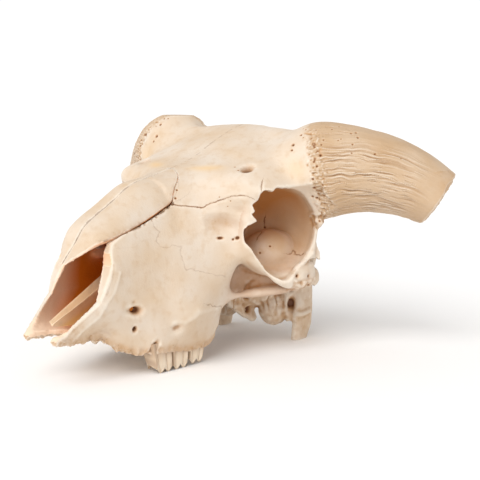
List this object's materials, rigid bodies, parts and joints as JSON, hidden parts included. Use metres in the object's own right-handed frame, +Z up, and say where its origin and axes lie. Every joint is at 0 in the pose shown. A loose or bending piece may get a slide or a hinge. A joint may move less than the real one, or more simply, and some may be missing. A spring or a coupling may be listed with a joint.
{
  "type": "ram skull",
  "caption": "Life-size skull of a horned domestic ram, lower jaw and front jaw bones missing, horn cores sawn short; a still museum model that rests on its teeth and skull base.",
  "frame": {"origin": "middle of the footprint on the surface that the skull rests on", "axes": "+Z up, -Y towards the nose, +X towards the animal's left"},
  "size_m": [0.2598, 0.2152, 0.1382],
  "materials": {
    "bone": "matt bleached bone with a faint warm stain, finely porous",
    "horn_core": "coarse tan bone with lengthwise furrows, sawn off at the end"
  },
  "bodies": {
    "root": {"bulla_left": "bone", "bulla_right": "bone", "ethmoid": "bone", "frontal_left": "bone", "frontal_right": "bone", "horn_core_left": "horn_core", "horn_core_right": "horn_core", "lacrimal_left": "bone", "lacrimal_right": "bone", "maxilla_left": "bone", "maxilla_right": "bone", "nasal_left": "bone", "nasal_right": "bone", "occipital": "bone", "parietal": "bone", "sphenoid": "bone", "temporal_left": "bone", "temporal_right": "bone", "vomer": "bone", "zygomatic_left": "bone", "zygomatic_right": "bone"}
  },
  "joints": []
}
